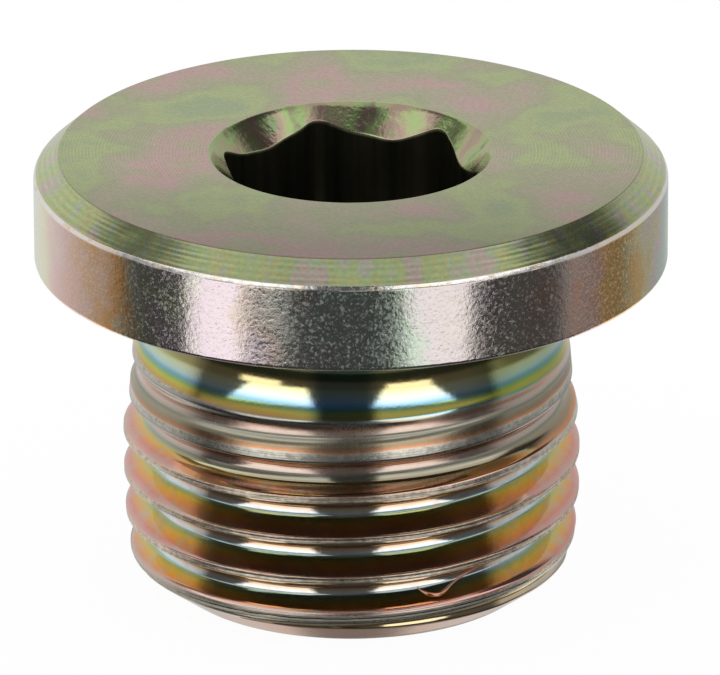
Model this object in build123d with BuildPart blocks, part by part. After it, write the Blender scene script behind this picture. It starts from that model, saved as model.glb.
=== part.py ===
from build123d import *

import os
from math import ceil, radians, tan

# Hex socket screw plug with a metric fine thread and a solid flange, turned and
# rolled from one piece of steel. It stands on its threaded end: the origin is the
# centre of that end face, and +Z runs up the axis to the flange. Millimetres.

# Flange
flange_diameter = 22.0
flange_thickness = 3.8
top_bevel_width = 0.88
top_bevel_height = 0.76
rim_lower_round = 0.18

# Shank
shank_length = 11.8
end_face_diameter = 12.84
end_bevel_height = 1.15

# Neck between the thread and the flange, waisted and smooth
neck_length = 3.4
waist_diameter = 14.8
waist_drop = 2.0
seat_corner_diameter = 16.2
blank_diameter = 15.26

# Rolled thread, M16 x 1.5: its crests rise from the blank as the groove deepens
thread_diameter = 15.95
thread_pitch = 1.5
thread_flank_angle = 30.0
full_thread_height = 5.44
crest_rise_length = 2.7
groove_runout_angle = 8.8

# Hexagon socket for the key
hex_across_flats = 8.0
hex_corner_round = 0.5
hex_depth = 7.4
pilot_tip_angle = 120.0
countersink_diameter = 9.8
countersink_angle = 86.0

overall_height = shank_length + flange_thickness
flange_radius = flange_diameter / 2
thread_radius = thread_diameter / 2
blank_radius = blank_diameter / 2
neck_bottom = shank_length - neck_length
waist_height = shank_length - waist_drop

# The metric profile sets the groove's depth and flats from the pitch
thread_depth = 0.61343 * thread_pitch
root_flat = thread_pitch / 6
groove_root_radius = thread_radius - thread_depth
cutter_depth = thread_depth + thread_pitch / 16
flank_slope = tan(radians(thread_flank_angle))

# The groove starts below the end face and turns up at full depth to
# full_thread_height. From there its root climbs out of the shank.
full_turns = ceil(full_thread_height / thread_pitch + 1)
runout_step = thread_pitch * tan(radians(groove_runout_angle))
runout_turns = ceil((blank_radius - groove_root_radius) / runout_step)


def groove_turn(root_radius, height, climb_angle):
    """One turn of the groove, as a solid, from its root's radius and height at angle 0."""
    outer_radius = root_radius + cutter_depth
    half_root = root_flat / 2
    half_mouth = half_root + cutter_depth * flank_slope
    with BuildSketch(Plane.XZ) as groove_section:
        with BuildLine():
            Polyline(
                (root_radius, height - half_root),
                (root_radius, height + half_root),
                (outer_radius, height + half_mouth),
                (outer_radius, height - half_mouth),
                close=True,
            )
        make_face()
    with BuildLine(Plane.XY.offset(height)) as groove_path:
        Helix(thread_pitch, thread_pitch, root_radius, cone_angle=climb_angle)
    with BuildPart() as groove:
        sweep(groove_section.sketch, path=groove_path.line, is_frenet=True)
    return groove.part


# Turns at full depth, counted down from where the run-out begins
full_depth_grooves = [
    groove_turn(groove_root_radius, full_thread_height - turn * thread_pitch, 0)
    for turn in range(1, full_turns + 1)
]

# Each turn of the run-out starts where the last one ended, further out and higher
runout_grooves = [
    groove_turn(
        groove_root_radius + turn * runout_step,
        full_thread_height + turn * thread_pitch,
        groove_runout_angle,
    )
    for turn in range(runout_turns)
]

with BuildPart() as plug_body:
    # Outline of the blank, from the axis at the end face round to the axis at the top
    with BuildSketch(Plane.YZ) as blank_section:
        with BuildLine():
            end_face = Line((0, 0), (end_face_diameter / 2, 0))
            end_bevel = Line(end_face @ 1, (thread_radius, end_bevel_height))
            thread_side = Line(end_bevel @ 1, (thread_radius, neck_bottom - crest_rise_length))
            crest_rise = Line(thread_side @ 1, (blank_radius, neck_bottom))
            lower_neck = TangentArc(
                (waist_diameter / 2, waist_height), crest_rise @ 1, tangent=(0, -1)
            )
            upper_neck = TangentArc(
                (waist_diameter / 2, waist_height),
                (seat_corner_diameter / 2, shank_length),
                tangent=(0, 1),
            )
            seat = Line(upper_neck @ 1, (flange_radius, shank_length))
            rim = Line(seat @ 1, (flange_radius, overall_height - top_bevel_height))
            top_bevel = Line(rim @ 1, (flange_radius - top_bevel_width, overall_height))
            top_face = Line(top_bevel @ 1, (0, overall_height))
            Line(top_face @ 1, (0, 0))
        make_face()
        fillet(blank_section.vertices().sort_by_distance(rim @ 0)[0], rim_lower_round)
    revolve(axis=Axis.Z)

    # Thread groove and its run-out
    add(full_depth_grooves + runout_grooves, mode=Mode.SUBTRACT)

    # Hexagon socket with a pilot hole's conical bottom and a countersunk mouth
    with BuildSketch(Plane.XY.offset(overall_height)):
        hexagon = RegularPolygon(hex_across_flats / 2, side_count=6, major_radius=False)
        fillet(hexagon.vertices(), hex_corner_round)
    extrude(amount=-hex_depth, mode=Mode.SUBTRACT)
    pilot_tip_height = hex_across_flats / 2 / tan(radians(pilot_tip_angle / 2))
    with Locations((0, 0, overall_height - hex_depth - pilot_tip_height)):
        Cone(
            0,
            hex_across_flats / 2,
            pilot_tip_height,
            align=(Align.CENTER, Align.CENTER, Align.MIN),
            mode=Mode.SUBTRACT,
        )
    countersink_height = countersink_diameter / 2 / tan(radians(countersink_angle / 2))
    with Locations((0, 0, overall_height - countersink_height)):
        Cone(
            0,
            countersink_diameter / 2,
            countersink_height,
            align=(Align.CENTER, Align.CENTER, Align.MIN),
            mode=Mode.SUBTRACT,
        )

plug_body.part.label = "plug_body"
os.makedirs("parts", exist_ok=True)
export_step(plug_body.part, "parts/plug_body.step")
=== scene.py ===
import math

import bpy
import numpy as np
from mathutils import Matrix, Vector


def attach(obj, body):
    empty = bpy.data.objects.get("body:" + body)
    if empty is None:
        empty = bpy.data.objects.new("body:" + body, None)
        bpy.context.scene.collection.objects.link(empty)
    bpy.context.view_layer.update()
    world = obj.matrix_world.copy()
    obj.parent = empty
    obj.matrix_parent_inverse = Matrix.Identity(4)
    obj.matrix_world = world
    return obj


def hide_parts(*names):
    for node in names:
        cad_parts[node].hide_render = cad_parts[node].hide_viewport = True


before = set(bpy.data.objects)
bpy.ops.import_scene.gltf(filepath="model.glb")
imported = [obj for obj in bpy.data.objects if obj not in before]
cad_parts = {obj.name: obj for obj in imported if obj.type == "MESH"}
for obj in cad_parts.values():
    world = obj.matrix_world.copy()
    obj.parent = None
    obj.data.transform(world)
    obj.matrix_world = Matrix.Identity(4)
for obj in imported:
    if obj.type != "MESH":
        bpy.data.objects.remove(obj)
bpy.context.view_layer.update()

MM = 0.001

# ---------------------------------------------------------------- the plug's sizes, in mm
# Flange; its radius is a hair under the CAD's, so that the mesh stays in the CAD's box
FLANGE_RADIUS = 10.997
SEAT_HEIGHT = 11.8
TOP_HEIGHT = 15.6
RIM_TOP_HEIGHT = 14.84
TOP_FACE_RADIUS = 10.12
RIM_LOWER_ROUND = 0.12
TOP_EDGE_ROUND = 0.06
SEAT_CHAMFER = 0.12

# The burnished facet between the rim and the bevel, measured from the rim's top
FACET_DROP = 0.09
FACET_INSET = 0.07
FACET_RISE = 0.045
FACET_ROUND = 0.12
FACET_WAVE = 0.012

# Grooves that the tool left in the bevel: how many, how deep at the photograph's left and right,
# and the share of that depth in front
TOOL_GROOVES = 6
TOOL_GROOVE_DEPTH = 0.0036
TOOL_GROOVE_SHARE = 0.2

# Socket; the countersink's edge is (out, up) from its radius and the top face, and the broach tore
# the upper edge of the hexagon a little, over a share of the walls' height
COUNTERSINK_RADIUS = 4.9
COUNTERSINK_SLOPE = math.tan(math.radians(43.0))
COUNTERSINK_EDGE = ((0.03, 0.0), (0.005, -0.009), (-0.02, -0.024))
HEX_INRADIUS = 4.0
HEX_CORNER_ROUND = 0.8
HEX_FLOOR_HEIGHT = 8.2
HEX_FLOOR_LEDGE = 0.01
PILOT_TIP_HEIGHT = HEX_FLOOR_HEIGHT - HEX_INRADIUS / math.tan(math.radians(60.0))
TEAR_DEPTH = 0.035
TEAR_REACH = 0.25

# Shank and neck
END_FACE_RADIUS = 6.42
END_EDGE_ROUND = 0.05
END_BEVEL_SLOPE = 1.555 / 1.15
END_BEVEL_POINT = (7.0, 0.6 / END_BEVEL_SLOPE)
END_BEVEL_BLEND = 0.08
BLANK_RADIUS = 7.63
NECK_BOTTOM = 8.4
WAIST_RADIUS = 7.38
WAIST_HEIGHT = 9.76
SEAT_CORNER_RADIUS = 8.1

# Groove of the thread. Its floor leans, is a little dished, and bends outward at its lower side,
# more so where the thread runs out
PITCH = 1.5
GROOVE_HEIGHT_AT_ZERO = 3.90
ROOT_RADIUS = 7.06
ROOT_HALF_WIDTH = 0.125
FLANK_SLOPE = math.tan(math.radians(60.0))
FLANK_BLEND = 0.03
FLOOR_LEAN = 0.115
FLOOR_DISH = 0.35
FLOOR_BEND_AT = 0.08
FLOOR_BEND_BLEND = 0.06
FLOOR_BEND = 0.04
FLOOR_BEND_RUNOUT = 0.42

# Heights over which the groove, the crests and the film change
FLOOR_DISHES = (1.0, 2.0)
CREST_ROUNDS = (1.2, 2.2)
CREST_MARKS_FADE = (5.6, 6.4)
GROOVE_RUNS_OUT = (5.6, 7.6)
NECK_FILM_STARTS = (8.54, 8.62)
NECK_FILM_EDGE = (0.0, 0.02)      # how far the groove's side lies outside the neck

# Heights, and the radius of the crests and of the groove's floor at them
CREST_LINE = (
    [0.9, 1.0, 1.12, 1.2, 1.5, 2.2, 3.0, 4.6, 5.7, 6.1, 6.5, 6.9, 7.4, 8.0, 8.4],
    [7.785, 7.78, 7.765, 7.77, 7.81, 7.90, 7.95, 7.97, 7.96, 7.90, 7.82, 7.745, 7.71, 7.66, 7.63],
)
ROOT_LINE = (
    [0.0, 0.9, 1.3, 1.8, 4.0, 5.4, 6.5, 8.0, 8.8, 10.0],
    [7.59, 7.59, 7.32, 7.12, 7.11, 7.12, 7.28, 7.53, 7.66, 7.90],
)

# How far the crests' edges are rounded, on the first thread and above it
FIRST_CREST_BLEND = 0.02
CREST_BLEND = 0.05

# The seam that rolling leaves along a crest, which wanders to either side, and the nicks in it
SEAM_REACH = 0.02
SEAM_HALF_WIDTH = 0.03
SEAM_DEPTH = 0.0154
SEAM_DEPTH_CHANGE = 0.011
SEAM_LEAST_DEPTH = 0.004
NICK_DEPTH = 0.006
NICK_HALF_WIDTH = 0.12

# A sliver of metal in the groove: degrees from the photograph's side, height above the groove's
# middle, and thickness. It has the tint of one place across the groove
SLIVER = [
    (18.5, -0.12, 0.020), (19.6, -0.21, 0.045), (21.2, -0.30, 0.062), (23.5, -0.34, 0.070),
    (25.8, -0.29, 0.062), (28.5, -0.19, 0.048), (32.0, -0.09, 0.040), (36.0, 0.02, 0.036),
    (39.0, 0.08, 0.028), (42.0, 0.12, 0.012),
]
SLIVER_SIDES = 8
SLIVER_RINGS_PER_POINT = 5
SLIVER_LIFT = 0.1
SLIVER_TINT_ACROSS = -0.54

# ---------------------------------------------------------------- the mesh's grid
SEGMENTS = 264
THREAD_LOW_AT_ZERO = 0.28
THREAD_HIGH_AT_ZERO = 7.72
FAN_ROWS = 26
SHANK_RING_LOW = 0.06
SHANK_RING_HIGH = 9.32
END_FACE_RINGS = (1.5, 3.5, 5.2, 6.0)
NECK_ROWS = 17
SEAT_ROWS = 4
CORNER_STEPS = 4
RIM_ROWS = 7
RIM_END_ROW = 0.03
FACET_ROWS = range(3, 7)
ROWS_PER_TOOL_GROOVE = 7
TOP_ROWS = 15
TOP_INNER_GAP = 0.06
COUNTERSINK_STEPS = (0.2, 0.4, 0.6, 0.8, 0.96, 1.0)
WALL_STEPS = (0.02, 0.1, 0.3, 0.6, 0.95, 1.0)
PILOT_STEPS = (0.05, 0.35, 0.7, 0.95)

# Rows of the thread's section from the groove's middle to the crest's, close where it bends
HALF_SECTION = [
    0.0, 0.04, 0.08, 0.10, 0.12, 0.14, 0.165, 0.22, 0.32, 0.43, 0.54, 0.60,
    0.625, 0.64, 0.655, 0.67, 0.69, 0.71, 0.73, 0.75,
]

# ---------------------------------------------------------------- the photograph's camera
# Angles are in radians and lengths in mm. It aims beside and above a point on the part's axis
CAMERA_AZIMUTH = math.radians(-75.8)
CAMERA_ELEVATION = 0.383
CAMERA_ROLL = -0.003
CAMERA_DISTANCE = 384.33
CAMERA_LENS = 551.1
CAMERA_AIM_HEIGHT = 8.0
CAMERA_AIM_RIGHT = 0.302
CAMERA_AIM_UP = 0.611


# ---------------------------------------------------------------- smooth lines
def wander(seed, waves, lowest, highest):
    """Frequencies, phases and size of a few waves that add up to a smooth random line."""
    random = np.random.RandomState(seed)
    frequency = np.exp(random.uniform(np.log(lowest), np.log(highest), waves))
    phase = random.uniform(0, 2 * np.pi, waves)
    return frequency, phase, 1 / np.sqrt(waves)


def whole_waves(seed, waves, lowest, highest):
    """A smooth random line that closes on itself after a full turn."""
    frequency, phase, size = wander(seed, waves, lowest, highest)
    return np.round(frequency), phase, size


def along(line, x):
    """The smooth random line at x."""
    frequency, phase, size = line
    return size * np.sin(np.multiply.outer(x, frequency) + phase).sum(-1)


def smooth_table(x, xs, ys):
    """A smooth curve through a few points, level beyond its ends."""
    xs, ys = np.asarray(xs, float), np.asarray(ys, float)
    slope = np.gradient(ys, xs)
    x = np.clip(x, xs[0], xs[-1])
    k = np.clip(np.searchsorted(xs, x) - 1, 0, len(xs) - 2)
    w = xs[k + 1] - xs[k]
    t = (x - xs[k]) / w
    return (
        ys[k] * (1 + 2 * t) * (1 - t) ** 2
        + w * slope[k] * t * (1 - t) ** 2
        + ys[k + 1] * t**2 * (3 - 2 * t)
        - w * slope[k + 1] * t**2 * (1 - t)
    )


def share(x, low, high):
    """0 below low, 1 above high, and in proportion between them."""
    return np.clip((x - low) / (high - low), 0, 1)


def arc_radius(rise, run):
    """Radius of an arc that starts along its run and rises this far."""
    return (rise**2 + run**2) / (2 * rise)


def soft_min(a, b, blend):
    """The smaller of two values, rounded where they cross."""
    h = np.maximum(blend - np.abs(a - b), 0) / blend
    return np.minimum(a, b) - h * h * blend / 4


def soft_max(a, b, blend):
    """The larger of two values, rounded where they cross."""
    return -soft_min(-a, -b, blend)


SEAM_LINE = wander(seed=5, waves=9, lowest=1.0, highest=30.0)
SEAM_DEPTH_LINE = wander(seed=3, waves=9, lowest=2.0, highest=40.0)
NICK_LINE = wander(seed=8, waves=24, lowest=20.0, highest=130.0)
FACET_LINE = whole_waves(seed=21, waves=9, lowest=12, highest=60)
TEAR_LINE = whole_waves(seed=11, waves=9, lowest=4, highest=18)


# ---------------------------------------------------------------- the plug's surfaces
def shank_surface(theta, z):
    """The shank at an angle and height: its radius, and what its film of colour follows, which is
    the distance across the groove and how far the surface is the smooth neck."""
    turns = (z - GROOVE_HEIGHT_AT_ZERO) / PITCH - theta / (2 * np.pi)
    groove = np.round(turns)
    across = (turns - groove) * PITCH
    groove_height = z - across

    # The groove's floor is cut short where the thread runs out; its flanks stay in place
    root = smooth_table(groove_height, *ROOT_LINE)
    bend = FLOOR_BEND + FLOOR_BEND_RUNOUT * share(groove_height, *GROOVE_RUNS_OUT)
    below = soft_max(-across - FLOOR_BEND_AT, 0, FLOOR_BEND_BLEND)
    dish = FLOOR_DISH * share(groove_height, *FLOOR_DISHES)
    floor_line = root - FLOOR_LEAN * across + bend * below + dish * across**2
    flank_line = ROOT_RADIUS + (np.abs(across) - ROOT_HALF_WIDTH) * FLANK_SLOPE
    groove_side = soft_max(floor_line, flank_line, FLANK_BLEND)

    # The crest's top, with its seam and nicks
    run = theta + 2 * np.pi * np.floor(turns)
    from_crest = across - np.sign(across) * PITCH / 2
    from_seam = from_crest - SEAM_REACH * along(SEAM_LINE, run)
    seam_depth = SEAM_DEPTH + SEAM_DEPTH_CHANGE * along(SEAM_DEPTH_LINE, run)
    seam = np.maximum(seam_depth, SEAM_LEAST_DEPTH) * np.exp(-((from_seam / SEAM_HALF_WIDTH) ** 2))
    nicks = NICK_DEPTH * along(NICK_LINE, run) * np.exp(-((from_crest / NICK_HALF_WIDTH) ** 2))
    marks = (seam + np.maximum(nicks, 0)) * (1 - share(z, *CREST_MARKS_FADE))
    crest = smooth_table(z, *CREST_LINE) - marks

    outline = np.where(z < NECK_BOTTOM, crest, neck_radius(z))
    end_bevel = END_FACE_RADIUS + z * END_BEVEL_SLOPE
    outside = soft_min(outline, end_bevel, END_BEVEL_BLEND)
    rounder = (CREST_BLEND - FIRST_CREST_BLEND) * share(z, *CREST_ROUNDS)
    radius = soft_min(outside, groove_side, FIRST_CREST_BLEND + rounder)
    neck = share(z, *NECK_FILM_STARTS) * share(groove_side - outside, *NECK_FILM_EDGE)
    return radius, across, neck


def neck_radius(z):
    """The waisted neck above the thread."""
    lower_round = arc_radius(BLANK_RADIUS - WAIST_RADIUS, WAIST_HEIGHT - NECK_BOTTOM)
    upper_round = arc_radius(SEAT_CORNER_RADIUS - WAIST_RADIUS, SEAT_HEIGHT - WAIST_HEIGHT)
    rounding = np.where(z < WAIST_HEIGHT, lower_round, upper_round)
    away = z - WAIST_HEIGHT
    return WAIST_RADIUS + rounding - np.sqrt(rounding**2 - away**2)


def hex_radius(theta):
    """Radius of the rounded hexagon at each angle, with corners on +X and every 60 degrees."""
    half_side = math.radians(30)
    to_corner = (theta + half_side) % (2 * half_side) - half_side
    flat = HEX_INRADIUS / np.cos(half_side - np.abs(to_corner))
    centre = (HEX_INRADIUS - HEX_CORNER_ROUND) / math.cos(half_side)
    under = HEX_CORNER_ROUND**2 - (centre * np.sin(to_corner)) ** 2
    arc = centre * np.cos(to_corner) + np.sqrt(np.maximum(under, 0))
    tangent = half_side - math.atan(
        (HEX_INRADIUS - HEX_CORNER_ROUND) * math.tan(half_side) / HEX_INRADIUS
    )
    return np.where(np.abs(to_corner) < tangent, arc, flat)


def rounded_outline(points, steps):
    """Points (r, z, rounding) to a line of (r, z) whose corners are arcs of this many steps."""
    line = []
    for k, (r, z, rounding) in enumerate(points):
        here = Vector((r, z))
        if rounding == 0 or k in (0, len(points) - 1):
            line.append((r, z))
            continue
        before = (Vector(points[k - 1][:2]) - here).normalized()
        after = (Vector(points[k + 1][:2]) - here).normalized()
        half = before.angle(after) / 2
        back = rounding / math.tan(half)
        centre = here + (before + after).normalized() * (rounding / math.sin(half))
        start, end = here + before * back - centre, here + after * back - centre
        turn = start.angle_signed(end)
        for s in range(steps + 1):
            spoke = Matrix.Rotation(-turn * s / steps, 2) @ start
            line.append(tuple(centre + spoke))
    return line


def between(start, end, count):
    """Points strictly between two, evenly spaced."""
    start, end = np.array(start), np.array(end)
    return [tuple(start + (end - start) * s / (count + 1)) for s in range(1, count + 1)]


# ---------------------------------------------------------------- rows, from the end face up and in
SHANK, SEAT, RIM, BEVEL, TOP, SOCKET, WALL, END, EDGE = range(9)

theta = np.arange(SEGMENTS) * 2 * np.pi / SEGMENTS
climb = PITCH * theta / (2 * np.pi)
rows = []          # each is (radius, height, across, neck), arrays over the segments
row_material = []


def row(r, z, material, across=0.0, neck=1.0):
    rows.append([value + 0 * theta for value in (r, z, across, neck)])
    row_material.append(material)


def shank_row(z):
    radius, across, neck = shank_surface(theta, z)
    row(radius, z, SHANK, across, neck)


# End face, from near its centre to its rounded edge
for r in END_FACE_RINGS:
    row(r, 0, END)
end_edge = [(END_FACE_RINGS[-1], 0, 0), (END_FACE_RADIUS, 0, END_EDGE_ROUND), (*END_BEVEL_POINT, 0)]
for r, z in rounded_outline(end_edge, CORNER_STEPS)[1:-1]:
    row(r, z, END)

# Lower fan, whose rows spread from a flat ring to the first row that follows the thread
fan_low = len(rows)
shank_row(SHANK_RING_LOW + 0 * theta)
first_helical = THREAD_LOW_AT_ZERO + climb
for s in range(1, FAN_ROWS):
    shank_row(SHANK_RING_LOW + (first_helical - SHANK_RING_LOW) * s / FAN_ROWS)

# Rows that follow the thread
section = HALF_SECTION + [PITCH - t for t in HALF_SECTION[-2:0:-1]]
section_rows = len(section)
low_turn = (THREAD_LOW_AT_ZERO - GROOVE_HEIGHT_AT_ZERO) / PITCH
high_turn = (THREAD_HIGH_AT_ZERO - GROOVE_HEIGHT_AT_ZERO) / PITCH
offsets = sorted(
    turn * PITCH + t
    for turn in range(math.floor(low_turn) - 1, math.ceil(high_turn) + 2)
    for t in section
)
helix_low = len(rows)
for t in offsets:
    if THREAD_LOW_AT_ZERO - 1e-9 <= t + GROOVE_HEIGHT_AT_ZERO <= THREAD_HIGH_AT_ZERO:
        shank_row(GROOVE_HEIGHT_AT_ZERO + t + climb)
helix_high = len(rows) - 1

# Upper fan, back to a flat ring on the neck
last_helical = rows[-1][1]
for s in range(1, FAN_ROWS + 1):
    shank_row(last_helical + (SHANK_RING_HIGH - last_helical) * s / FAN_ROWS)
fan_high = len(rows) - 1

# Neck
for z in np.linspace(SHANK_RING_HIGH, SEAT_HEIGHT - SEAT_CHAMFER, NECK_ROWS + 1)[1:]:
    shank_row(z + 0 * theta)

# Flange: underside, rim with its burnished facet, bevel and top face
outline = rounded_outline([
    (SEAT_CORNER_RADIUS + SEAT_CHAMFER, SEAT_HEIGHT, 0),
    (FLANGE_RADIUS, SEAT_HEIGHT, RIM_LOWER_ROUND),
    (FLANGE_RADIUS, RIM_TOP_HEIGHT - FACET_DROP, FACET_ROUND),
    (FLANGE_RADIUS - FACET_INSET, RIM_TOP_HEIGHT + FACET_RISE, FACET_ROUND),
    (TOP_FACE_RADIUS, TOP_HEIGHT, TOP_EDGE_ROUND),
    (COUNTERSINK_RADIUS, TOP_HEIGHT, 0),
], CORNER_STEPS)
arc = CORNER_STEPS + 1
seat_start = outline[0]
rim_foot, facet = outline[1:1 + arc], outline[1 + arc:1 + 3 * arc]
top_edge = outline[1 + 3 * arc:-1]
for r, z in [seat_start, *between(seat_start, rim_foot[0], SEAT_ROWS)]:
    row(r, z, SEAT)
rim_side = [
    (FLANGE_RADIUS, rim_foot[-1][1] + RIM_END_ROW),
    *between(rim_foot[-1], facet[0], RIM_ROWS),
    (FLANGE_RADIUS, facet[0][1] - RIM_END_ROW),
]
for r, z in rim_foot + rim_side:
    row(r, z, RIM)
facet_wave = FACET_WAVE * along(FACET_LINE, theta)
for k, (r, z) in enumerate(facet):
    if k in FACET_ROWS:
        row(r, z + facet_wave, EDGE)
    else:
        row(r, z, RIM)
to_the_side = np.sin(theta - CAMERA_AZIMUTH) ** 2
groove_depth = TOOL_GROOVE_DEPTH * (TOOL_GROOVE_SHARE + (1 - TOOL_GROOVE_SHARE) * to_the_side)
into_bevel = Vector((RIM_TOP_HEIGHT - TOP_HEIGHT, TOP_FACE_RADIUS - FLANGE_RADIUS)).normalized()
bevel_rows = between(facet[-1], top_edge[0], TOOL_GROOVES * ROWS_PER_TOOL_GROOVE - 1)
for k, (r, z) in enumerate(bevel_rows):
    phase = 2 * math.pi * (k + 1) / ROWS_PER_TOOL_GROOVE
    depth = groove_depth * (1 - math.cos(phase)) / 2
    row(r + into_bevel.x * depth, z + into_bevel.y * depth, BEVEL)
for r, z in top_edge:
    row(r, z, TOP)
for r in np.linspace(top_edge[-1][0], COUNTERSINK_RADIUS + TOP_INNER_GAP, TOP_ROWS + 1)[1:]:
    row(r, TOP_HEIGHT, TOP)

# Countersink, hexagon walls and the pilot hole's cone
hexagon = hex_radius(theta)
tear = TEAR_DEPTH * along(TEAR_LINE, theta)
torn = hexagon + tear
cone_bottom = TOP_HEIGHT - (COUNTERSINK_RADIUS - torn) / COUNTERSINK_SLOPE
for out, up in COUNTERSINK_EDGE:
    row(COUNTERSINK_RADIUS + out, TOP_HEIGHT + up, SOCKET)
for s in COUNTERSINK_STEPS:
    row(
        COUNTERSINK_RADIUS + (torn - COUNTERSINK_RADIUS) * s,
        TOP_HEIGHT + (cone_bottom - TOP_HEIGHT) * s,
        SOCKET,
    )
for s in WALL_STEPS:
    row(
        hexagon + tear * max(0, 1 - s / TEAR_REACH),
        cone_bottom + (HEX_FLOOR_HEIGHT - cone_bottom) * s,
        WALL,
    )
row(HEX_INRADIUS - HEX_FLOOR_LEDGE, HEX_FLOOR_HEIGHT, WALL)
for s in PILOT_STEPS:
    row(HEX_INRADIUS * (1 - s), HEX_FLOOR_HEIGHT + (PILOT_TIP_HEIGHT - HEX_FLOOR_HEIGHT) * s, WALL)


# ---------------------------------------------------------------- the mesh
def sliver_rings():
    """Rings of points round the sliver, half sunk in the shank's surface."""
    line = np.array(SLIVER)
    at = np.arange(len(line))
    steps = np.linspace(0, at[-1], SLIVER_RINGS_PER_POINT * at[-1] + 1)
    turn, lift, thick = (smooth_table(steps, at, line[:, k]) for k in range(3))
    angle = CAMERA_AZIMUTH + np.radians(turn)
    level = GROOVE_HEIGHT_AT_ZERO - PITCH + PITCH * angle / (2 * np.pi) + lift
    r = shank_surface(angle, level)[0] + SLIVER_LIFT * thick
    middle = np.stack([r * np.cos(angle), r * np.sin(angle), level], -1)
    ahead = np.gradient(middle, axis=0)
    ahead /= np.linalg.norm(ahead, axis=1)[:, None]
    outward = np.stack([np.cos(angle), np.sin(angle), 0 * angle], -1)
    outward -= (outward * ahead).sum(1)[:, None] * ahead
    outward /= np.linalg.norm(outward, axis=1)[:, None]
    sideways = np.cross(ahead, outward)
    a = (np.arange(SLIVER_SIDES) * 2 * np.pi / SLIVER_SIDES)[:, None]
    spokes = np.cos(a) * outward[:, None] + np.sin(a) * sideways[:, None]
    return middle[:, None] + thick[:, None, None] * spokes


radius, height, across, neck = np.array(rows).transpose(1, 0, 2)
row_count = len(rows)
points = np.stack([radius * np.cos(theta), radius * np.sin(theta), height], -1).reshape(-1, 3)
bottom_pole, top_pole = len(points), len(points) + 1
sliver = sliver_rings()
sliver_start = top_pole + 1
points = np.vstack([points, (0, 0, 0), (0, 0, PILOT_TIP_HEIGHT), sliver.reshape(-1, 3)])

last = SEGMENTS - 1
faces, face_material = [], []


def add_faces(new, material):
    faces.extend(new)
    face_material.extend([material] * len(new))


def vertex(k, i):
    """The point of row k at segment i."""
    return k * SEGMENTS + i


def quad(k_left, k_right, i, j):
    """A face between segments i and j, from a row at each side to the rows above them."""
    return vertex(k_left, i), vertex(k_right, j), vertex(k_right + 1, j), vertex(k_left + 1, i)


def zip_seam(left_rows, right_rows):
    """Triangles across the seam at angle 0, where its two sides have different rows."""
    left, right = list(left_rows), list(right_rows)
    made, a, b = [], 0, 0
    while a < len(left) - 1 or b < len(right) - 1:
        go_left = b == len(right) - 1 or (
            a < len(left) - 1 and height[left[a + 1], last] <= height[right[b + 1], 0]
        )
        here = vertex(left[a], last), vertex(right[b], 0)
        if go_left:
            a += 1
            made.append((*here, vertex(left[a], last)))
        else:
            b += 1
            made.append((*here, vertex(right[b], 0)))
    return made


# After a turn, a row that follows the thread meets the one a whole section above it
for k in range(row_count - 1):
    material = row_material[k + 1]
    add_faces([quad(k, k, i, i + 1) for i in range(last)], material)
    if k + 1 <= fan_low or k >= fan_high:
        add_faces([quad(k, k, last, 0)], material)
    elif helix_low <= k < helix_high - section_rows:
        add_faces([quad(k, k + section_rows, last, 0)], material)
add_faces(zip_seam(
    range(fan_low, helix_low + 1), range(fan_low, helix_low + section_rows + 1)), SHANK)
add_faces(zip_seam(
    range(helix_high - section_rows, fan_high + 1), range(helix_high, fan_high + 1)), SHANK)

round_the_part = [(i, (i + 1) % SEGMENTS) for i in range(SEGMENTS)]
add_faces([(bottom_pole, vertex(0, j), vertex(0, i)) for i, j in round_the_part], END)
add_faces([(vertex(row_count - 1, i), vertex(row_count - 1, j), top_pole)
           for i, j in round_the_part], WALL)

round_the_sliver = [(i, (i + 1) % SLIVER_SIDES) for i in range(SLIVER_SIDES)]
ring_starts = [sliver_start + k * SLIVER_SIDES for k in range(len(sliver))]
for low, high in zip(ring_starts, ring_starts[1:]):
    add_faces([(low + i, low + j, high + j, high + i) for i, j in round_the_sliver], SHANK)
for start, order in ((ring_starts[0], -1), (ring_starts[-1], 1)):
    add_faces([tuple(range(start, start + SLIVER_SIDES))[::order]], SHANK)

mesh = bpy.data.meshes.new("hex_socket_plug")
mesh.from_pydata((points * MM).tolist(), [], faces)
mesh.validate()
for name, values, sliver_value in (("across", across, SLIVER_TINT_ACROSS), ("neck", neck, 0.0)):
    on_sliver = np.full(sliver.size // 3, sliver_value)
    attribute = mesh.attributes.new(name, "FLOAT", "POINT")
    attribute.data.foreach_set("value", np.concatenate([values.reshape(-1), (0, 0), on_sliver]))
plug = bpy.data.objects.new("hex_socket_plug", mesh)
bpy.context.scene.collection.objects.link(plug)
for polygon, material in zip(mesh.polygons, face_material):
    polygon.material_index = material
    polygon.use_smooth = True
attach(plug, "root")
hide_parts("plug_body")


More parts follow.
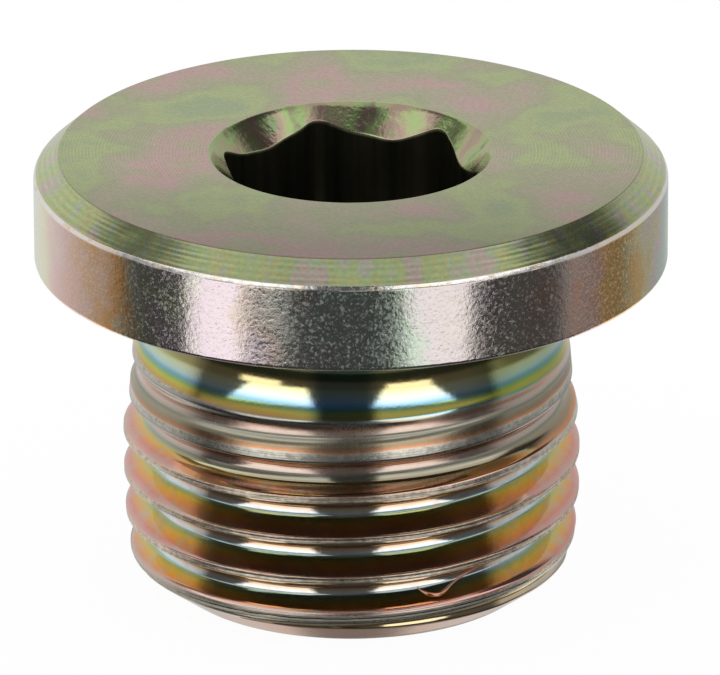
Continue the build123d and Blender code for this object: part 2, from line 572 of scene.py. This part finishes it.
# ---------------------------------------------------------------- materials
class Graph:
    """Short names for the node calls that the materials repeat."""

    def __init__(self, name):
        self.material = bpy.data.materials.new(name)
        self.material.use_nodes = True
        self.tree = self.material.node_tree
        self.shader = self.tree.nodes["Principled BSDF"]
        self.output = self.tree.nodes["Material Output"]

    def node(self, kind, **settings):
        made = self.tree.nodes.new(kind)
        for key, value in settings.items():
            setattr(made, key, value)
        return made

    def feed(self, socket, value):
        if isinstance(value, bpy.types.NodeSocket):
            self.tree.links.new(value, socket)
        else:
            socket.default_value = value

    def math(self, operation, *values, clamp=False):
        made = self.node("ShaderNodeMath", operation=operation, use_clamp=clamp)
        for socket, value in zip(made.inputs, values):
            self.feed(socket, value)
        return made.outputs[0]

    def mix(self, factor, a, b, blend="MIX"):
        made = self.node("ShaderNodeMix", data_type="RGBA", blend_type=blend)
        for index, value in ((0, factor), (6, a), (7, b)):
            self.feed(made.inputs[index], value)
        return made.outputs[2]

    def times(self, a, b):
        """The product of two colours."""
        return self.mix(1.0, a, b, "MULTIPLY")

    def dot(self, vector, axis):
        made = self.node("ShaderNodeVectorMath", operation="DOT_PRODUCT")
        self.feed(made.inputs[0], vector)
        self.feed(made.inputs[1], axis)
        return made.outputs["Value"]

    def fit(self, value, low, high, new_low=0.0, new_high=1.0):
        """The value moved from one range to another, and held inside it."""
        made = self.node("ShaderNodeMapRange")
        for socket, number in zip(made.inputs, (value, low, high, new_low, new_high)):
            self.feed(socket, number)
        return made.outputs[0]

    def ramp(self, factor, stops, interpolation="EASE"):
        made = self.node("ShaderNodeValToRGB")
        made.color_ramp.interpolation = interpolation
        elements = made.color_ramp.elements
        while len(elements) < len(stops):
            elements.new(0.5)
        for element, (place, color) in zip(elements, stops):
            element.position = place
            element.color = (*color[:3], 1)
        self.feed(made.inputs[0], factor)
        return made.outputs[0]

    def table(self, value, low, high, stops):
        """Colours along a value, which runs from low to high."""
        placed = [((at - low) / (high - low), color) for at, color in stops]
        return self.ramp(self.fit(value, low, high), placed, "LINEAR")

    def around(self, turn, stops):
        """Colours round a circle, at degrees from -180 to 180; turn runs from 0 to 1."""
        return self.ramp(turn, [(angle / 360 + 0.5, color) for angle, color in stops], "LINEAR")

    def place(self):
        return self.node("ShaderNodeTexCoord").outputs["Object"]

    def parts(self, vector):
        made = self.node("ShaderNodeSeparateXYZ")
        self.feed(made.inputs[0], vector)
        return made.outputs

    def scaled(self, vector, scale):
        made = self.node("ShaderNodeMapping")
        self.feed(made.inputs["Vector"], vector)
        made.inputs["Scale"].default_value = scale
        return made.outputs[0]

    def noise(self, vector, scale, detail=3.0, rough=0.5):
        """Noise whose features are about 1 / scale metres wide."""
        made = self.node("ShaderNodeTexNoise")
        self.feed(made.inputs["Vector"], vector)
        made.inputs["Scale"].default_value = scale
        made.inputs["Detail"].default_value = detail
        made.inputs["Roughness"].default_value = rough
        return made.outputs[0]

    def spokes(self, scale, detail):
        """Noise that changes round the plug's axis and hardly along a radius."""
        flat = self.node("ShaderNodeVectorMath", operation="MULTIPLY")
        self.feed(flat.inputs[0], self.place())
        flat.inputs[1].default_value = (1, 1, 0)
        outward = self.node("ShaderNodeVectorMath", operation="NORMALIZE")
        self.feed(outward.inputs[0], flat.outputs[0])
        return self.noise(outward.outputs[0], scale, detail=detail)

    def bump(self, height, distance_mm, strength=1.0, normal=None):
        made = self.node("ShaderNodeBump")
        made.inputs["Strength"].default_value = strength
        made.inputs["Distance"].default_value = distance_mm * MM
        self.feed(made.inputs["Height"], height)
        if normal is not None:
            self.feed(made.inputs["Normal"], normal)
        return made.outputs[0]

    def radius_mm(self):
        x, y, _ = self.parts(self.place())
        squares = [self.math("MULTIPLY", part, part) for part in (x, y)]
        return self.math("MULTIPLY", self.math("SQRT", self.math("ADD", *squares)), 1 / MM)

    def height_mm(self):
        return self.math("MULTIPLY", self.parts(self.place())[2], 1 / MM)

    def around_part(self, stops, shift=0.0):
        """Colours round the plug, at degrees from its +X axis."""
        x, y, _ = self.parts(self.place())
        turn = self.math("MULTIPLY_ADD", self.math("ARCTAN2", y, x), 1 / (2 * math.pi), 0.5)
        return self.around(self.math("ADD", turn, shift), stops)

    def upward(self):
        """Upward part of the surface's normal."""
        return self.parts(self.node("ShaderNodeNewGeometry").outputs["Normal"])[2]

    def attribute(self, name):
        return self.node("ShaderNodeAttribute", attribute_name=name).outputs["Fac"]

    def metal(self, color, roughness, normal):
        self.shader.inputs["Metallic"].default_value = 1.0
        self.feed(self.shader.inputs["Base Color"], color)
        self.feed(self.shader.inputs["Roughness"], roughness)
        self.feed(self.shader.inputs["Normal"], normal)
        return self.material


def grey(level):
    return (level, level, level, 1)


# Tints of the film across the thread's groove, at mm above the groove's middle: from the crest
# below it, in over the flank that faces up, over the floor, and out over the flank that faces down
THREAD_TINTS = [
    (-0.75, (0.80, 0.74, 0.64)),
    (-0.66, (0.86, 0.62, 0.46)),
    (-0.60, (0.80, 0.46, 0.43)),
    (-0.51, (0.82, 0.35, 0.26)),
    (-0.40, (0.88, 0.46, 0.14)),
    (-0.30, (0.74, 0.58, 0.14)),
    (-0.22, (0.48, 0.56, 0.24)),
    (-0.165, (0.40, 0.62, 0.60)),
    (-0.12, (0.70, 0.86, 0.94)),
    (-0.06, (0.84, 0.84, 0.86)),
    (0.00, (0.88, 0.78, 0.66)),
    (0.06, (0.84, 0.58, 0.40)),
    (0.11, (0.74, 0.42, 0.26)),
    (0.16, (0.58, 0.66, 0.66)),
    (0.30, (0.96, 0.74, 0.40)),
    (0.60, (0.94, 0.72, 0.42)),
    (0.66, (0.82, 0.76, 0.66)),
    (0.75, (0.80, 0.74, 0.64)),
]

# The same where the thread runs out; its flank that faces up is painted dark olive and teal-grey, a
# painted shade under the flange
RUNOUT_TINTS = [
    (-0.75, (0.64, 0.63, 0.55)),
    (-0.64, (0.70, 0.66, 0.57)),
    (-0.56, (0.76, 0.34, 0.16)),
    (-0.46, (0.42, 0.30, 0.19)),
    (-0.24, (0.40, 0.37, 0.27)),
    (-0.15, (0.30, 0.30, 0.25)),
    (-0.08, (0.54, 0.47, 0.38)),
    (0.06, (0.72, 0.56, 0.48)),
    (0.22, (0.72, 0.42, 0.28)),
    (0.30, (0.50, 0.46, 0.40)),
    (0.62, (0.50, 0.46, 0.40)),
    (0.68, (0.64, 0.63, 0.55)),
    (0.75, (0.64, 0.63, 0.55)),
]

# Tints of the neck by how far its side faces up
NECK_TINTS = [
    (-0.20, (0.62, 0.66, 0.30)),
    (-0.12, (0.60, 0.72, 0.30)),
    (-0.05, (0.94, 0.72, 0.34)),
    (0.03, (0.94, 0.86, 0.42)),
    (0.09, (0.86, 0.92, 0.70)),
    (0.14, (0.70, 0.90, 0.92)),
    (0.185, (0.30, 0.58, 0.78)),
    (0.215, (0.40, 0.62, 0.28)),
    (0.255, (0.80, 0.72, 0.16)),
    (0.30, (0.90, 0.50, 0.16)),
]
NECK_LEAN_RANGE = (-0.2, 0.32)

# Painted shade round the neck: its colour darkens at the sides, and a dark blue patch in front
# paints the reflection of the dark gap where the camera stands
NECK_PAINTED_SHADE = [
    (-180, (0.7, 0.7, 0.6)),
    (-135, (0.74, 0.82, 0.76)),
    (-118, (0.94, 0.96, 0.94)),
    (-88, (1.0, 1.0, 1.0)),
    (-84, (0.26, 0.38, 0.62)),
    (-72, (0.30, 0.42, 0.56)),
    (-68, (1.0, 1.0, 1.0)),
    (-44, (1.0, 1.0, 1.0)),
    (-34, (0.58, 0.68, 0.54)),
    (-10, (0.50, 0.58, 0.48)),
    (20, (0.7, 0.7, 0.6)),
    (180, (0.7, 0.7, 0.6)),
]

# Tints round the rim
RIM_TINTS = [
    (-180, (0.82, 0.72, 0.66)),
    (-160, (0.88, 0.92, 0.74)),
    (-150, (0.92, 0.86, 0.60)),
    (-140, (0.96, 0.70, 0.68)),
    (-130, (0.96, 0.66, 0.46)),
    (-123, (0.96, 0.52, 0.20)),
    (-116, (0.78, 0.80, 0.62)),
    (-107, (0.78, 0.66, 0.70)),
    (-97, (0.80, 0.68, 0.70)),
    (-92, (0.74, 0.60, 0.52)),
    (-78, (0.66, 0.74, 0.68)),
    (-66, (0.58, 0.66, 0.54)),
    (-60, (0.70, 0.62, 0.62)),
    (-54, (0.70, 0.62, 0.58)),
    (-46, (0.80, 0.74, 0.66)),
    (-36, (0.86, 0.70, 0.62)),
    (-30, (0.96, 0.62, 0.50)),
    (-25, (0.96, 0.60, 0.26)),
    (-15, (0.94, 0.62, 0.26)),
    (-8, (0.86, 0.82, 0.52)),
    (-3, (0.90, 0.74, 0.72)),
    (6, (0.66, 0.88, 0.74)),
    (60, (0.84, 0.74, 0.60)),
    (120, (0.70, 0.80, 0.56)),
    (180, (0.82, 0.72, 0.66)),
]

# How rough the rim is round it, from 0 to 1
RIM_WEAR = [
    (-180, 0.4), (-120, 0.6), (-110, 1.0), (-107, 0.2), (-97, 0.2), (-92, 1.0),
    (-68, 1.0), (-64, 0.2), (-56, 0.2), (-52, 0.8), (-20, 0.6), (180, 0.4),
]

# Tints in patches, from one end of the noise to the other
EDGE_TINTS = [(0.40, (0.98, 0.93, 0.84)), (0.52, (0.95, 0.94, 0.92)), (0.64, (0.90, 0.78, 0.62))]
SEAT_TINTS = [(0.4, (0.82, 0.72, 0.40)), (0.6, (0.82, 0.66, 0.34))]
END_TINTS = [(0.42, (0.56, 0.60, 0.38)), (0.58, (0.70, 0.54, 0.46))]
# Painted shade: dark colours for the hexagon's walls, standing in for the shade down in the socket
SOCKET_SHADE_TINTS = [(0.3, (0.10, 0.10, 0.07)), (0.7, (0.24, 0.23, 0.17))]
BEVEL_TINTS = [
    (0.36, (0.62, 0.62, 0.50)),
    (0.44, (0.56, 0.68, 0.34)),
    (0.50, (0.66, 0.66, 0.32)),
    (0.54, (0.56, 0.66, 0.42)),
    (0.60, (0.72, 0.58, 0.50)),
    (0.68, (0.60, 0.62, 0.46)),
]
TOP_TINTS = [
    (0.32, (0.42, 0.50, 0.28)),
    (0.42, (0.49, 0.56, 0.27)),
    (0.49, (0.47, 0.48, 0.29)),
    (0.55, (0.52, 0.47, 0.33)),
    (0.63, (0.62, 0.43, 0.38)),
    (0.72, (0.51, 0.49, 0.31)),
]
COUNTERSINK_TINTS = [
    (0.38, (0.30, 0.24, 0.18)),
    (0.46, (0.42, 0.56, 0.24)),
    (0.51, (0.50, 0.50, 0.28)),
    (0.56, (0.52, 0.38, 0.30)),
    (0.64, (0.34, 0.42, 0.22)),
]

# Places on the shank where its film or its finish changes, as (from, to): heights in mm, and
# distances from the groove's middle in mm
FOOT_ENDS = (0.80, 0.95)
WORN_THREAD_ENDS = (1.45, 1.7)
RUNOUT_FILM_STARTS = (5.95, 6.25)
WORN_RUNOUT_STARTS = (6.3, 6.8)
CREST_STARTS = (0.63, 0.66)
WORN_FLANK_STARTS = (0.45, 0.55)
FOOT_FILM = (0.84, 0.50, 0.34, 1)
DULL_FILM = (0.60, 0.56, 0.48, 1)
WORN_FILM = (0.64, 0.62, 0.53, 1)

# Painted shade: the top face and the bevel are darkened towards this side, the camera's, between
# these two distances from the axis, in metres
PAINTED_SHADE_SIDE = (0.25, -0.97, 0)
PAINTED_SHADE_GROWS = (0.0035, 0.011)


def shank_material():
    g = Graph("rolled_shank")
    place, height_mm = g.place(), g.height_mm()
    across, neck = g.attribute("across"), g.attribute("neck")
    patch = g.noise(place, 420.0)
    grain = g.noise(place, 6500.0, rough=0.6)
    not_neck = g.math("SUBTRACT", 1.0, neck)
    from_middle = g.math("ABSOLUTE", across)

    # The film: over the thread, with dull patches and a plain foot, in the run-out, and on the neck
    shift = g.fit(patch, 0.3, 0.7, -0.03, 0.03)
    shifted = g.math("ADD", across, shift)
    thread, runout = (
        g.table(shifted, -PITCH / 2, PITCH / 2, tints) for tints in (THREAD_TINTS, RUNOUT_TINTS)
    )
    dull = g.fit(g.noise(place, 1500.0, detail=4.0, rough=0.65), 0.45, 0.70, 0.0, 0.55)
    thread = g.mix(dull, thread, DULL_FILM)
    thread = g.mix(g.fit(height_mm, *FOOT_ENDS, 1.0, 0.0), thread, FOOT_FILM)
    running_out = g.fit(height_mm, *RUNOUT_FILM_STARTS)
    lean = g.math("ADD", g.upward(), g.math("MULTIPLY", shift, 0.3))
    # The neck's tints, with painted shade round it
    smooth = g.times(g.table(lean, *NECK_LEAN_RANGE, NECK_TINTS), g.around_part(NECK_PAINTED_SHADE))
    color = g.mix(neck, g.mix(running_out, thread, runout), smooth)

    # Wear: speckled crests, and a dull first thread and run-out
    crest = g.math("MULTIPLY", g.fit(from_middle, *CREST_STARTS), not_neck)
    speckle = g.fit(g.noise(place, 4200.0, rough=0.6), 0.35, 0.65, 0.66, 1.1)
    color = g.mix(crest, color, g.times(color, speckle))
    relief = g.math("MULTIPLY", crest, g.fit(running_out, 0.0, 1.0, 1.0, 0.15))
    worn_thread = g.math("MULTIPLY", g.fit(height_mm, *WORN_THREAD_ENDS, 1.0, 0.0),
                         g.fit(from_middle, *WORN_FLANK_STARTS))
    color = g.mix(g.math("MULTIPLY", worn_thread, 0.75), color, WORN_FILM)
    worn_runout = g.math("MULTIPLY", g.fit(height_mm, *WORN_RUNOUT_STARTS), not_neck)
    rough = g.math("MULTIPLY_ADD", relief, 0.22, g.fit(grain, 0.3, 0.7, 0.06, 0.12))
    rough = g.math("MULTIPLY_ADD", worn_thread, 0.20, rough)
    rough = g.math("MULTIPLY_ADD", worn_runout, g.fit(patch, 0.35, 0.65, 0.08, 0.20), rough)
    bumps = g.math("MULTIPLY", grain, g.fit(relief, 0.0, 1.0, 0.08, 1.0))
    return g.metal(color, rough, g.bump(bumps, 0.016))


def rim_material():
    g = Graph("pitted_rim")
    place = g.place()
    patch = g.noise(place, 500.0, detail=4.0, rough=0.6)
    color = g.around_part(RIM_TINTS, g.fit(patch, 0.3, 0.7, -0.02, 0.02))
    speck = g.noise(place, 7500.0, rough=0.55)
    peel = g.noise(place, 2200.0, detail=2.0)
    glints = g.fit(g.noise(place, 9000.0, detail=2.0, rough=0.6), 0.52, 0.68, 0.0, 0.30)
    wear = g.around_part([(at, grey(level)) for at, level in RIM_WEAR])
    rough = g.math("MULTIPLY_ADD", g.fit(speck, 0.44, 0.68), 0.17, glints)
    rough = g.math("MULTIPLY_ADD", rough, wear, 0.10)
    return g.metal(color, rough, g.bump(speck, 0.006, normal=g.bump(peel, 0.004)))


def edge_material():
    g = Graph("burnished_edge")
    place = g.place()
    grain = g.noise(place, 5000.0, rough=0.6)
    color = g.ramp(g.noise(place, 1300.0), EDGE_TINTS)
    return g.metal(color, g.fit(grain, 0.35, 0.65, 0.08, 0.26), g.bump(grain, 0.008))


def turned_material(name, feed_mm, relief_mm, roughs, patch_scale, tints, streaks=0.0, painted_side_shade=0.0):
    """A face turned on a lathe: concentric marks, whose grooves get painted shade, and patches of
    tint that may run in streaks.
    Painted shade can darken it towards one side, the camera's."""
    g = Graph(name)
    place = g.place()
    waver = g.noise(place, 160.0)
    around = g.math("ADD", g.radius_mm(), g.math("MULTIPLY", waver, 0.3))
    marks = g.math("SINE", g.math("MULTIPLY", around, 2 * math.pi / feed_mm))
    uneven = g.noise(place, 1500.0)
    grain = g.noise(place, 7000.0, detail=2.0, rough=0.6)
    height = g.math("MULTIPLY", marks, g.fit(uneven, 0.35, 0.65, 0.2, 1.0))
    patch = g.noise(place, patch_scale, detail=2.5)
    if streaks:
        patch = g.mix(streaks, patch, g.spokes(16.0, detail=5.0))
    color = g.times(g.ramp(patch, tints), g.fit(grain, 0.35, 0.65, 0.92, 1.05))
    # Painted shade: the marks' grooves are coloured darker and their ridges lighter
    color = g.times(color, g.fit(height, -1.0, 1.0, 0.88, 1.06))
    # Painted shade: the colour darkens towards the camera's side
    if painted_side_shade:
        film = g.math("MULTIPLY_ADD", waver, 0.004, g.dot(place, PAINTED_SHADE_SIDE))
        color = g.times(color, g.fit(film, *PAINTED_SHADE_GROWS, 1.0, 1.0 - painted_side_shade))
    height = g.math("ADD", height, g.math("MULTIPLY", grain, 0.6))
    return g.metal(color, g.fit(uneven, 0.3, 0.7, *roughs), g.bump(height, relief_mm))


def countersink_material():
    g = Graph("cut_countersink")
    place = g.place()
    patch = g.mix(0.6, g.noise(place, 900.0), g.spokes(3.0, detail=3.0))
    grain = g.noise(place, 5000.0, detail=2.0)
    return g.metal(g.ramp(patch, COUNTERSINK_TINTS), 0.16, g.bump(grain, 0.008))


def wall_material():
    g = Graph("broached_walls")
    streaks = g.noise(g.scaled(g.place(), (1600, 1600, 60)), 1.0)
    # Painted shade in the socket, from the dark wall tints
    return g.metal(g.ramp(streaks, SOCKET_SHADE_TINTS), 0.3, g.bump(streaks, 0.02, strength=0.6))


materials = {
    SHANK: shank_material(),
    SEAT: turned_material(
        "turned_seat", feed_mm=0.11, relief_mm=0.0004, roughs=(0.07, 0.12),
        patch_scale=300.0, tints=SEAT_TINTS,
    ),
    RIM: rim_material(),
    BEVEL: turned_material(
        "turned_bevel", feed_mm=0.19, relief_mm=0.001, roughs=(0.16, 0.24),
        patch_scale=700.0, tints=BEVEL_TINTS, streaks=0.5, painted_side_shade=0.18,
    ),
    TOP: turned_material(
        "faced_top", feed_mm=0.12, relief_mm=0.002, roughs=(0.22, 0.32),
        patch_scale=260.0, tints=TOP_TINTS, painted_side_shade=0.45,
    ),
    EDGE: edge_material(),
    SOCKET: countersink_material(),
    WALL: wall_material(),
    END: turned_material(
        "faced_end", feed_mm=0.16, relief_mm=0.0015, roughs=(0.22, 0.3),
        patch_scale=300.0, tints=END_TINTS,
    ),
}
for index in sorted(materials):
    mesh.materials.append(materials[index])


# ---------------------------------------------------------------- floor
FLOOR_REACH = 1500.0
FLOOR_WHITE_SHARE = 0.965       # the rest keeps the plug's shadow

floor_corners = [
    (x * FLOOR_REACH * MM, y * FLOOR_REACH * MM, 0) for x, y in ((-1, -1), (1, -1), (1, 1), (-1, 1))
]
floor_mesh = bpy.data.meshes.new("floor")
floor_mesh.from_pydata(floor_corners, [], [(0, 1, 2, 3)])
floor = bpy.data.objects.new("floor", floor_mesh)
bpy.context.scene.collection.objects.link(floor)
floor.visible_glossy = False

g = Graph("white_floor")
rays = g.node("ShaderNodeLightPath").outputs
mirrored = g.math("MAXIMUM", rays["Is Glossy Ray"], rays["Is Transmission Ray"])
seen = g.math("MAXIMUM", rays["Is Camera Ray"], mirrored)
white = g.node("ShaderNodeEmission")
white.inputs["Color"].default_value = grey(1.0)
white.inputs["Strength"].default_value = 1.0
g.shader.inputs["Base Color"].default_value = grey(0.9)
g.shader.inputs["Roughness"].default_value = 0.9
g.shader.inputs["Specular IOR Level"].default_value = 0.0
mixed = g.node("ShaderNodeMixShader")
g.feed(mixed.inputs[0], g.math("MULTIPLY", seen, FLOOR_WHITE_SHARE))
g.feed(mixed.inputs[1], g.shader.outputs[0])
g.feed(mixed.inputs[2], white.outputs[0])
g.feed(g.output.inputs[0], mixed.outputs[0])
floor.data.materials.append(g.material)

# ---------------------------------------------------------------- studio
# Greys of the walls round the plug, at azimuths as the Studio below has them
FLOOR_GLOW = [
    (-180, 0.20), (-140, 0.23), (-100, 0.30), (-86, 0.05),
    (86, 0.05), (100, 0.30), (140, 0.23), (180, 0.20),
]
UNDER_WALLS = [
    (-180, 0.40), (-162, 0.95), (-112, 0.95), (-106, 0.02),
    (106, 0.02), (112, 0.95), (162, 0.95), (180, 0.40),
]
RIM_WALLS = [
    (-180, 0.70), (-150, 0.70), (-136, 0.60), (-124, 0.50), (-110, 0.36), (-98, 0.28),
    (-92, 0.15), (-84, 0.055), (80, 0.055), (87, 0.24), (96, 0.16), (118, 0.15),
    (126, 0.30), (142, 0.32), (160, 0.40), (180, 0.70),
]
SIDE_WALLS = [
    (-180, 0.66), (-120, 0.72), (-100, 0.60), (-92, 0.42), (-86, 0.075),
    (78, 0.075), (84, 0.40), (100, 0.50), (140, 0.54), (180, 0.66),
]
HIGH_WALLS = [
    (-180, 0.90), (-152, 0.62), (-134, 0.62), (-126, 0.75), (-119, 0.16), (-98, 0.16),
    (-92, 0.60), (92, 0.60), (98, 0.07), (126, 0.05), (136, 0.52), (155, 0.60), (180, 0.90),
]
OVERHEAD = [(-180, 0.66), (180, 0.66)]

# The elevation where each band of walls starts, over the one before, and how softly
WALL_BANDS = [
    (-47.5, 1.5, UNDER_WALLS), (-29, 2.5, RIM_WALLS), (-19, 1.5, SIDE_WALLS),
    (27, 5, HIGH_WALLS), (60, 5, OVERHEAD),
]
PANEL_LEVEL = 1.3
EVEN_LIGHT = grey(0.9)


class Studio(Graph):
    """The studio round the plug, as the metal sees it: light walls with dark gaps. Azimuths are
    in degrees from the photograph's side, positive to its right; elevations are above the floor."""

    def __init__(self):
        world = bpy.data.worlds.new("studio")
        bpy.context.scene.world = world
        world.use_nodes = True
        self.tree = world.node_tree
        self.background = self.tree.nodes["Background"]
        direction = self.node("ShaderNodeTexCoord").outputs["Generated"]
        forward = (math.cos(CAMERA_AZIMUTH), math.sin(CAMERA_AZIMUTH), 0)
        sideways = (-math.sin(CAMERA_AZIMUTH), math.cos(CAMERA_AZIMUTH), 0)
        ahead, aside, above = (self.dot(direction, axis) for axis in (forward, sideways, (0, 0, 1)))
        self.azimuth = self.math("DEGREES", self.math("ARCTAN2", aside, ahead))
        self.elevation = self.math("DEGREES", self.math("ARCSINE", above))
        self.sky = self.walls(FLOOR_GLOW)
        for elevation, soft, stops in WALL_BANDS:
            higher = self.edge(self.elevation, elevation, soft)
            self.sky = self.mix(higher, self.sky, self.walls(stops))

    def walls(self, stops):
        turn = self.math("MULTIPLY_ADD", self.azimuth, 1 / 360, 0.5)
        return self.around(turn, [(azimuth, grey(level)) for azimuth, level in stops])

    def edge(self, value, at, soft):
        """0 below a value and 1 above it."""
        made = self.node("ShaderNodeMapRange", interpolation_type="SMOOTHSTEP")
        for socket, number in zip(made.inputs, (value, at - soft, at + soft)):
            self.feed(socket, number)
        return made.outputs[0]

    def within(self, value_low, value_high, ends, soft):
        """1 between two ends; the value may differ from one end to the other."""
        low, high = self.edge(value_low, ends[0], soft), self.edge(value_high, ends[1], soft)
        return self.math("SUBTRACT", low, high, clamp=True)

    def lay(self, level, azimuths, elevations, soft=3.0, soft_up=3.0, slopes=(0, 0), share=1.0):
        """Lay a four-sided patch of grey over the sky; slopes lean its left and right sides."""
        left, right = (
            self.math("MULTIPLY_ADD", self.elevation, -slope, self.azimuth) for slope in slopes
        )
        patch = self.math(
            "MULTIPLY",
            self.within(left, right, azimuths, soft),
            self.within(self.elevation, self.elevation, elevations, soft_up),
        )
        self.sky = self.mix(self.math("MULTIPLY", patch, share), self.sky, grey(level))


studio = Studio()
# A dark hood over the plug, a dim ledge low in front, and a faint glow on the front walls
studio.lay(0.10, (-48, 48), (56, 68), soft=8)
studio.lay(0.14, (-60, 60), (-45, -41), soft=8, soft_up=1)
studio.lay(0.42, (-86, 84), (1, 22), soft=4, soft_up=5, share=0.8)
# The light over the front walls, split by the dark gap where the camera stands
studio.lay(0.95, (-93, 93), (25, 58), soft=4)
studio.lay(0.07, (-17, 12), (-2, 60))
# Light panels: a strip on either side for the flange's edge, and two tall ones with narrow feet
studio.lay(PANEL_LEVEL, (-106, -16), (28, 38))
studio.lay(PANEL_LEVEL, (13, 86), (28, 38))
for azimuths, slopes, foot_azimuths in (
    ((-68, -19), (-0.6, 0.24), (-62, -39)),
    ((10, 56), (-0.36, 0.6), (19, 44)),
):
    studio.lay(PANEL_LEVEL, azimuths, (-20, -0.5), soft=2, soft_up=1.5, slopes=slopes)
    studio.lay(PANEL_LEVEL, foot_azimuths, (-25.5, -20), soft=2, soft_up=1.5)

# The metal mirrors the studio, the camera sees white, and all else gets an even light
rays = studio.node("ShaderNodeLightPath").outputs
light = studio.mix(rays["Is Glossy Ray"], EVEN_LIGHT, studio.sky)
studio.feed(studio.background.inputs[0], studio.mix(rays["Is Camera Ray"], light, grey(1.0)))

SOFTBOX_SIZE = 0.30
SOFTBOX_WATTS = 0.3
SOFTBOX_PLACE = (-0.10, -0.12, 0.40)
SOFTBOX_AIM = (0, 0, 0.008)

lamp = bpy.data.lights.new("softbox", "AREA")
lamp.size = SOFTBOX_SIZE
lamp.energy = SOFTBOX_WATTS
softbox = bpy.data.objects.new("softbox", lamp)
softbox.location = SOFTBOX_PLACE
to_plug = Vector(SOFTBOX_AIM) - Vector(SOFTBOX_PLACE)
softbox.rotation_euler = to_plug.to_track_quat("-Z", "Y").to_euler()
softbox.visible_glossy = False
bpy.context.scene.collection.objects.link(softbox)

# ---------------------------------------------------------------- camera
SENSOR_WIDTH = 36.0
CLIP_START = 0.01
CLIP_END = 10.0

lens = bpy.data.cameras.new("camera")
lens.lens = CAMERA_LENS
lens.sensor_width = SENSOR_WIDTH
lens.clip_start = CLIP_START
lens.clip_end = CLIP_END
camera = bpy.data.objects.new("camera", lens)
bpy.context.scene.collection.objects.link(camera)
back = Vector((
    math.cos(CAMERA_AZIMUTH) * math.cos(CAMERA_ELEVATION),
    math.sin(CAMERA_AZIMUTH) * math.cos(CAMERA_ELEVATION),
    math.sin(CAMERA_ELEVATION),
))
right = Vector((-math.sin(CAMERA_AZIMUTH), math.cos(CAMERA_AZIMUTH), 0))
up = back.cross(right)
middle = Vector((0, 0, CAMERA_AIM_HEIGHT))
place = middle + back * CAMERA_DISTANCE
aim = middle + right * CAMERA_AIM_RIGHT + up * CAMERA_AIM_UP
camera.location = place * MM
turned = (aim - place).to_track_quat("-Z", "Y").to_matrix() @ Matrix.Rotation(CAMERA_ROLL, 3, "Z")
camera.rotation_euler = turned.to_euler()
bpy.context.scene.camera = camera
bpy.context.scene.view_settings.view_transform = "Standard"
